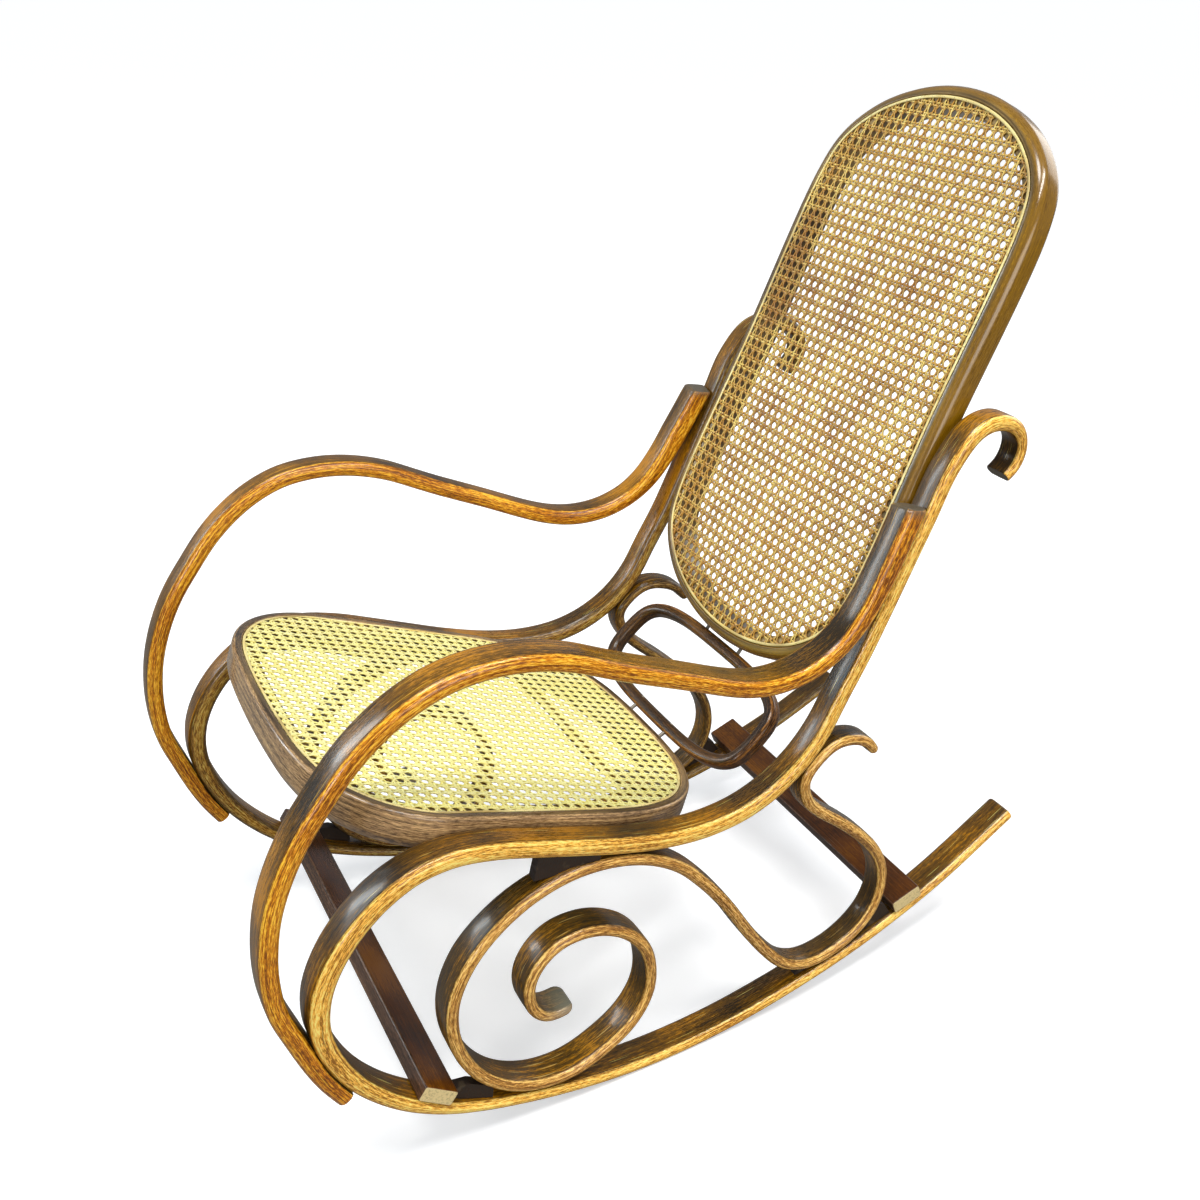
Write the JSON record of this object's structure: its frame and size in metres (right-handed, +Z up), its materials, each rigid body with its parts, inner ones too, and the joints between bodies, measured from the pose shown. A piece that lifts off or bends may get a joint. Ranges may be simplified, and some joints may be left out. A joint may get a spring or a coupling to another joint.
{
  "type": "bentwood rocking chair",
  "caption": "Bentwood rocking chair with scrolled side frames, looping braces and arms on bow runners, an oval ring behind the seat, and woven cane in the seat and the tall back.",
  "frame": {"origin": "centre of the bottom of the whole chair's box, on the floor", "axes": "+X the sitter's left, -Y the way the chair faces, +Z up, the chair standing in its balance"},
  "size_m": [0.5514, 0.9358, 0.9873],
  "materials": {
    "wood": "polished walnut-brown stain, worn to gold at the edges",
    "block": "dark, dull",
    "cane": "woven natural cane, satin, aged brown in patches",
    "spline": "satin reed",
    "screw": "aged steel"
  },
  "bodies": {
    "root": {"side_frame_left": "wood", "side_frame_right": "wood", "arm_left": "wood", "arm_right": "wood", "brace_left": "wood", "brace_right": "wood", "front_stretcher": "wood", "rear_stretcher": "wood", "toe_block_left": "block", "toe_block_right": "block", "rail_block_left": "block", "rail_block_right": "block", "heel_block_left": "block", "heel_block_right": "block", "tail_block_left": "block", "tail_block_right": "block", "seat_frame": "wood", "seat_cane": "cane", "seat_spline": "spline", "back_frame": "wood", "back_cane": "cane", "back_spline": "spline", "link_ring": "wood", "arm_top_screw_left": "screw", "arm_top_screw_right": "screw", "arm_foot_screw_left": "screw", "arm_foot_screw_right": "screw", "brace_rail_screw_left": "screw", "brace_rail_screw_right": "screw", "brace_runner_screw_left": "screw", "brace_runner_screw_right": "screw", "brace_post_screw_left": "screw", "brace_post_screw_right": "screw", "front_stretcher_screw_left": "screw", "front_stretcher_screw_right": "screw", "rear_stretcher_screw_left": "screw", "rear_stretcher_screw_right": "screw", "seat_screw_1_left": "screw", "seat_screw_1_right": "screw", "seat_screw_2_left": "screw", "seat_screw_2_right": "screw", "back_screw_1_left": "screw", "back_screw_1_right": "screw", "back_screw_2_left": "screw", "back_screw_2_right": "screw", "ring_top_screw_left": "screw", "ring_top_screw_right": "screw", "ring_foot_screw_left": "screw", "ring_foot_screw_right": "screw"}
  },
  "joints": []
}
